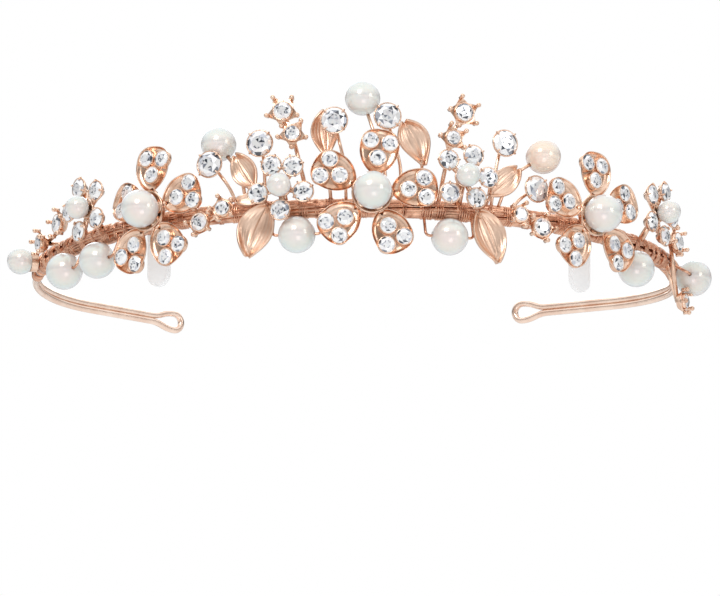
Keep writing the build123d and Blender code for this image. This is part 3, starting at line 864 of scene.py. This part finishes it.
def half_band(side, droop):
    """Both strands of one half, from the front middle round the eye and back."""
    tilt = math.radians(droop)
    front = [Vector(place(side * step * 2.5, 0.66, 0)) for step in range(36)]
    arm = []
    for x, y, z in arm_line():
        turned_y = y * math.cos(tilt) + z * math.sin(tilt)
        turned_z = z * math.cos(tilt) - y * math.sin(tilt)
        arm.append((x, turned_y, turned_z, y, z))
    upper = list(front)
    lower = [Vector((p.x, p.y, -p.z)) for p in front]
    for x, y, z, flat_y, flat_z in arm:
        upper.append(Vector((side * (band_radius + x * mm), y * mm, z * mm)))
    for x, y, z, flat_y, flat_z in arm[:-1]:
        below_y = flat_y * math.cos(tilt) - flat_z * math.sin(tilt)
        below_z = -flat_z * math.cos(tilt) - flat_y * math.sin(tilt)
        lower.append(Vector((side * (band_radius + x * mm), below_y * mm, below_z * mm)))
    return upper + lower[::-1]


for side_name, side, droop in (("left", -1, 3.0), ("right", 1, -2.4)):
    form = tube(side_name + "_band_line", [half_band(side, droop)], strand_radius, 16)
    stands_for = [side_name + "_arm_wire"] + (["band_front"] if side > 0 else [])
    bend = ("band", side_name + "_arm", (side * band_radius, -4 * mm, 0), (side * band_radius, 7 * mm, 0))
    finished(side_name + "_band_half", form, lit_band_gold, nodes=stands_for, blend=bend)

# %% [markdown]
# The binding is what a maker adds last: the ends of all the stems are laid along the band, and fine wire
# is wound round the bundle. Long strands with a slow twist give the bundle, and helices of fine wire in
# runs of close turns give the winding. Both are drawn as tubes along computed lines.

# %% Lay the stem ends and wind the fine wire
binding_low, binding_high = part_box("binding_wire")
binding_half_height = binding_high.z
binding_half_depth = 1.5 * mm
binding_reach = 81.0


def lay_line(first, last, step, angle_at, radius_share):
    """Points on the binding's section, angle_at giving the turn for each bearing."""
    line = []
    bearing = first
    while bearing <= last:
        angle = math.radians(angle_at(bearing))
        height = binding_half_height * radius_share * math.sin(angle)
        reach = binding_half_depth * radius_share * math.cos(angle)
        line.append(outward(bearing) * (band_radius + reach) + UP * height)
        bearing += step
    return line


bundle = []
dice = random.Random(5)
strand_count = 16
for index in range(strand_count):
    phase, twist = 360 * index / strand_count + dice.uniform(-8, 8), dice.uniform(1.9, 2.4)
    share = dice.uniform(0.62, 0.82)
    bundle.append(lay_line(-binding_reach, binding_reach, 1.5, lambda b: phase + twist * b, share))
form = tube("bundle", bundle, 0.42 * mm, 8)
core = [lay_line(-binding_reach, binding_reach, 1.5, lambda b: side, 0.45) for side in (90, -90)]
inside = tube("core", core, 1.05 * mm, 12)
add(form, inside)
inside.free()
finished("stem_bundle", form, shaded_wire_gold, nodes=["binding_wire"])

windings = []
bearing = -binding_reach + 0.6
while bearing < binding_reach - 2:
    turns = dice.choice([2, 3, 4, 5])
    span = turns * 0.42
    last = min(bearing + span, binding_reach - 0.4)
    begin = bearing
    windings.append(lay_line(begin, last, 0.02, lambda b: (b - begin) / 0.42 * 360, 0.93))
    bearing = last + dice.uniform(0.5, 2.6)
form = tube("windings", windings, 0.24 * mm, 6)
finished("fine_windings", form, shaded_wire_gold)

# %% [markdown]
# ## Pieces that stay as they are
#
# The wires through the pearls, the end wraps, the cup at the left end and the tabs are already the right
# shape in the solid model. They only need their finish, which goes into the slots of their own objects.

# %% Finish the solid nodes that stay
stays = {
    "end_wraps": shaded_wire_gold,
    "front_pearl_wires": shaded_wire_gold,
    "left_pearl_wires": shaded_wire_gold,
    "right_pearl_wires": shaded_wire_gold,
    "left_end_cup": rose_gold,
    "grip_tabs": clear_tab,
}
for name, finish in stays.items():
    mesh = frame["nodes"][name].data
    mesh.materials.clear()
    mesh.materials.append(finish)
    print(name, "gets", finish.name)

# %% [markdown]
# A stem rises from the binding, bends once at a knee and ends in a claw cup or inside a pearl. A short
# quadratic curve rounds each knee, as fingers round a soft wire, so the stem never shows a hard corner.

# %% Bend the stems and cup their crystals
crystal_knees = [
    ((-4.6, 9.0, 1.2), -4.4),
    ((5.0, 9.0, 1.2), 5.0),
    ((-24.6, 5.0, 1.8), -23.6),
    ((-18.6, 8.0, 1.2), -18.6),
    ((22.0, 9.0, 1.2), 21.4),
    ((26.0, 3.2, 1.6), 25.2),
]
pearl_feet = {"top_pearl": 2.6, "left_stem_pearl": -22.0, "right_stem_pearl": 22.6}
bend_length = 2.2 * mm


def stem_line(foot_bearing, knee, head):
    """Foot in the binding, a rounded knee, and the head."""
    foot = place(foot_bearing, 0.9, 0.4)
    near = knee + (foot - knee).normalized() * min(bend_length, 0.6 * (foot - knee).length)
    far = knee + (head - knee).normalized() * min(bend_length, 0.6 * (head - knee).length)
    line = [foot]
    for step in range(9):
        share = step / 8
        line.append(near * (1 - share) ** 2 + knee * 2 * share * (1 - share) + far * share**2)
    return line + [head]


stems = []
form = bmesh.new()
for knee, foot_bearing in crystal_knees:
    corner = place(*knee)
    centre, axis, size = min(stones["stem_crystals"], key=lambda s: (s[0] - corner).length)
    size *= stone_growth["stem"]
    where = seat(centre, axis, UP)
    add(form, claw_cup(size, 0.42 * size), where)
    prongs(form, where, size, 4, 0.26 * mm, -1.5 * mm, 0.75 * mm, math.pi / 4)
    stems.append(stem_line(foot_bearing, corner, centre - axis * 0.38 * size))
finished("stem_cups", form, rose_gold, nodes=["crystal_stems"])
finished("crystal_stem_wires", tube("stem_lines", stems, 0.36 * mm, 10), rose_gold)
pearl_lines = [
    stem_line(pearl_feet[name], place(*stem_knees[name]), node_centre(name)) for name in stem_knees
]
form = tube("pearl_lines", pearl_lines, 0.38 * mm, 10)
finished("pearl_stem_wires", form, rose_gold, nodes=["pearl_stems"])

# %% [markdown]
# ## Studio
#
# Jewellery is shown in a white tent. The camera sees plain white, while the metal has to reflect
# something darker here and there, or it would look like paint. So the world is white to the camera and
# a soft band of light and grey to everything else, with a few large area lights.

# %% Light, floor and camera
scene = bpy.context.scene
world = bpy.data.worlds.new("tent")
scene.world = world
world.use_nodes = True
tree = world.node_tree
tree.nodes.clear()
start = Signal(tree)
direction = start.make("TexCoord", output=0)
parts = start.make("SeparateXYZ", inputs={0: direction}, output=2)
tent = start.make(
    "ValToRGB",
    {"stops": [(0.0, (0.8, 0.78, 0.76)), (0.36, (0.10, 0.09, 0.08)), (0.5, (1.0, 1.0, 1.0)),
               (0.62, (0.15, 0.14, 0.13)), (0.8, (1.0, 1.0, 1.0))]},
    {"Fac": parts * 0.5 + 0.5},
)
grey = start.make("Background", inputs={"Color": tent, "Strength": 1.08})
white = start.make("Background", inputs={"Color": (1, 1, 1, 1), "Strength": 1.0})
seen = start.make("LightPath", output=0)
mixed = start.make("MixShader", inputs={0: seen, 1: grey, 2: white})
output = tree.nodes.new("ShaderNodeOutputWorld")
tree.links.new(mixed.socket, output.inputs["Surface"])
scene.view_settings.view_transform = "Standard"

floor_form = bmesh.new()
bmesh.ops.create_grid(floor_form, x_segments=1, y_segments=1, size=3.0, matrix=Matrix.Translation((0, 0, -0.75)))
floor_mesh = bpy.data.meshes.new("floor")
floor_form.to_mesh(floor_mesh)
floor = bpy.data.objects.new("floor", floor_mesh)
scene.collection.objects.link(floor)


def pale(start, where):
    cloud = start.make("TexNoise", inputs={"Vector": where, "Scale": 2.0})
    return {"Roughness": cloud * 0.2 + 0.6}


floor_mesh.materials.append(new_finish("pale_floor", {"Base Color": (0.95, 0.95, 0.95, 1)}, pale))

lamps = [
    ("key", (-0.2, -0.5, 0.3), 0.20, 0.85),
    ("fill", (0.42, -0.4, 0.12), 0.18, 0.25),
    ("low", (0.05, -0.5, -0.3), 0.20, 0.15),
    ("back", (0.0, 0.45, 0.35), 0.4, 0.9),
]
for name, spot, size, power in lamps:
    light = bpy.data.lights.new(name, "AREA")
    light.size, light.energy = size, power
    holder = bpy.data.objects.new(name, light)
    holder.location = spot
    holder.rotation_euler = (-Vector(spot)).to_track_quat("-Z", "Y").to_euler()
    scene.collection.objects.link(holder)

camera = bpy.data.objects.new("camera", bpy.data.cameras.new("camera"))
scene.collection.objects.link(camera)
scene.camera = camera
azimuth, elevation = math.radians(-2.8), math.radians(-13.0)
ahead = Vector((-math.sin(azimuth), math.cos(azimuth), 0))
sideways = Vector((math.cos(azimuth), math.sin(azimuth), 0))
look = ahead * math.cos(elevation) - UP * math.sin(elevation)
screen_up = ahead * math.sin(elevation) + UP * math.cos(elevation)
distance, frame_width = 2.4, 0.1512
target = sideways * 0.95 * mm - screen_up * 3.36 * mm - look * 50 * mm
camera.location = target - look * distance
camera.rotation_euler = look.to_track_quat("-Z", "Y").to_euler()
camera.data.sensor_width = 36.0
camera.data.lens = 36.0 * distance / frame_width
camera.data.clip_end = 20.0
print("camera at", tuple(round(c, 3) for c in camera.location), "lens", round(camera.data.lens))
